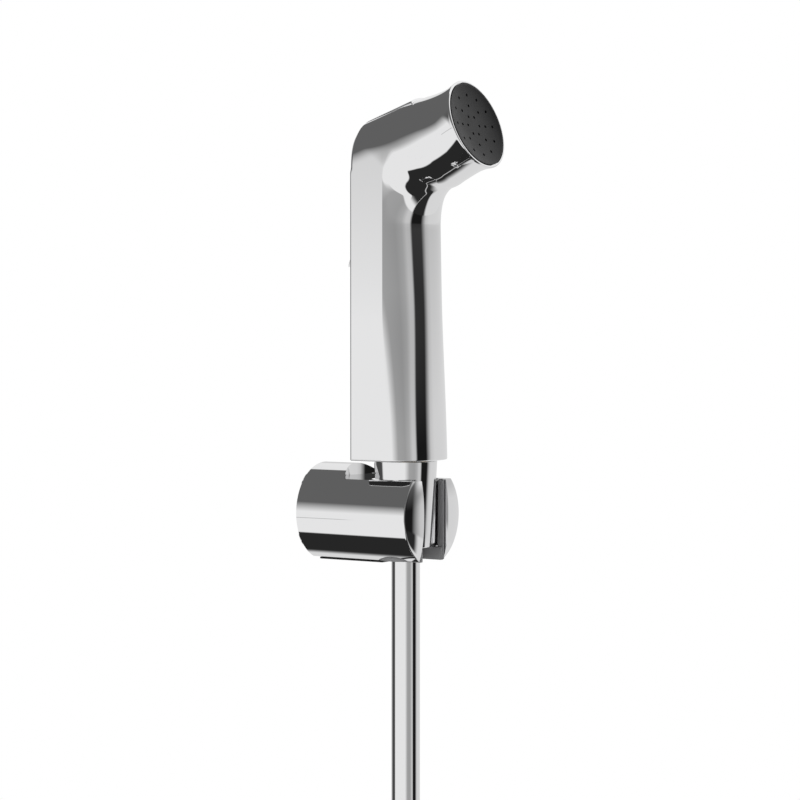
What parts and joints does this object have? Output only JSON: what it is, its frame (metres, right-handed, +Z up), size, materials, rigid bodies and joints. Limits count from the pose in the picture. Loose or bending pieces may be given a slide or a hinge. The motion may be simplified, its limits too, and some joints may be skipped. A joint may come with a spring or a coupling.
{
  "type": "bidet hand spray with wall holder and hose",
  "caption": "Toilet-side bidet hand spray with a thumb lever, standing by its conical hose nut in a slotted round wall holder, with its silvered hose.",
  "frame": {"origin": "centre of the holder's wall face", "axes": "+X along the holder's axis, away from the wall; +Z up along the handle; +Y across"},
  "size_m": [0.1093, 0.1588, 0.5496],
  "materials": {
    "chrome": "polished",
    "hose_chrome": "smooth, silvered",
    "brass": "turned",
    "steel": "bright",
    "black_plastic": "satin",
    "grey_plastic": "satin",
    "white_plastic": "satin",
    "rubber": "matte"
  },
  "bodies": {
    "spray_set": {"handset_body": "chrome", "lever_pin": "steel", "spray_face": "black_plastic", "face_seal": "rubber", "valve_housing": "brass", "valve_seat_ring": "brass", "valve_spring": "steel", "inlet_nipple": "brass", "check_valve_body": "white_plastic", "check_valve_spring": "steel", "hose_nut": "chrome", "hose_ferrule": "brass", "hose_gasket": "rubber", "hose": "hose_chrome", "hose_coil": "hose_chrome", "hose_tail": "hose_chrome", "hose_tie": "black_plastic", "outlet_ferrule": "brass", "outlet_washer": "rubber", "holder_body": "chrome", "seat_collar": "grey_plastic", "wall_plate": "grey_plastic", "wall_screw_1": "steel", "wall_screw_2": "steel", "grub_screw": "steel", "underside_cover": "black_plastic"},
    "lever": {"thumb_lever": "chrome"},
    "stem": {"valve_stem": "steel", "valve_seal": "rubber"},
    "poppet": {"check_valve_poppet": "white_plastic"},
    "far_nut": {"outlet_nut": "chrome"}
  },
  "joints": [
    {"name": "lever_press", "type": "hinge", "parent": "spray_set", "child": "lever", "pos_m": [0.0314, 0, 0.16143], "axis": [0, -1, 0], "range_deg": [0, 3], "stiffness_Nm_per_rad": 0.4, "springref_deg": -5.73},
    {"name": "valve_push", "type": "slide", "parent": "spray_set", "child": "stem", "axis": [1, 0, 0], "range_m": [0, 0.0019], "deforming": ["valve_spring"]},
    {"name": "check_lift", "type": "slide", "parent": "spray_set", "child": "poppet", "axis": [0, 0, 1], "range_m": [0, 0.0015], "stiffness_N_per_m": 60, "springref_m": -0.001, "deforming": ["check_valve_spring"]},
    {"name": "outlet_turn", "type": "hinge", "parent": "spray_set", "child": "far_nut", "pos_m": [0.0163, -0.07, -0.3634], "axis": [0, 0, 1], "continuous": true}
  ],
  "couplings": [
    {"joint": "valve_push", "follows": "lever_press", "m_per_rad": 0.0334}
  ]
}
